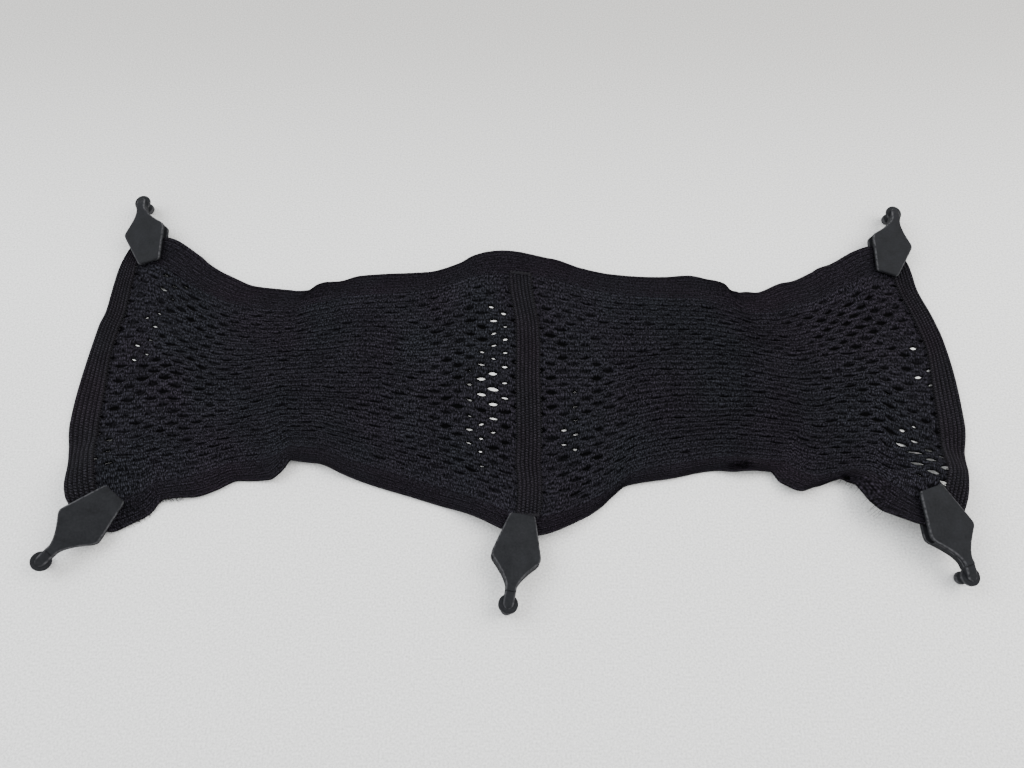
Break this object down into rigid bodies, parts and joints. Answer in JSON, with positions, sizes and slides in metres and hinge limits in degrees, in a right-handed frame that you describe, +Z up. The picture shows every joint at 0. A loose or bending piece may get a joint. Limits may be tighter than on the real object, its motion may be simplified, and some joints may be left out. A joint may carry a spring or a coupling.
{
  "type": "elastic luggage net",
  "caption": "Elastic knitted luggage net with ribbed side bands, a centre tape and moulded hook clips, lying relaxed with soft folds.",
  "frame": {"origin": "middle of the bounding box's footprint, on the surface that the net lies on", "axes": "+X along the net from its left to its right band, +Y from its front to its rear hem, +Z up"},
  "size_m": [0.4366, 0.2274, 0.019],
  "materials": {
    "knit": "matt black elastic warp knit, open lens-shaped meshes",
    "elastic": "matt black ribbed elastic band",
    "moulded": "fine satin moulded charcoal plastic"
  },
  "bodies": {
    "root": {"net_panel": "knit", "side_band_left": "elastic", "side_band_right": "elastic", "centre_tape": "elastic", "clip_front_left_body": "moulded", "clip_front_left_cover": "moulded", "clip_front_middle_body": "moulded", "clip_front_middle_cover": "moulded", "clip_front_right_body": "moulded", "clip_front_right_cover": "moulded", "clip_rear_left_body": "moulded", "clip_rear_left_cover": "moulded", "clip_rear_right_body": "moulded", "clip_rear_right_cover": "moulded"}
  },
  "joints": []
}
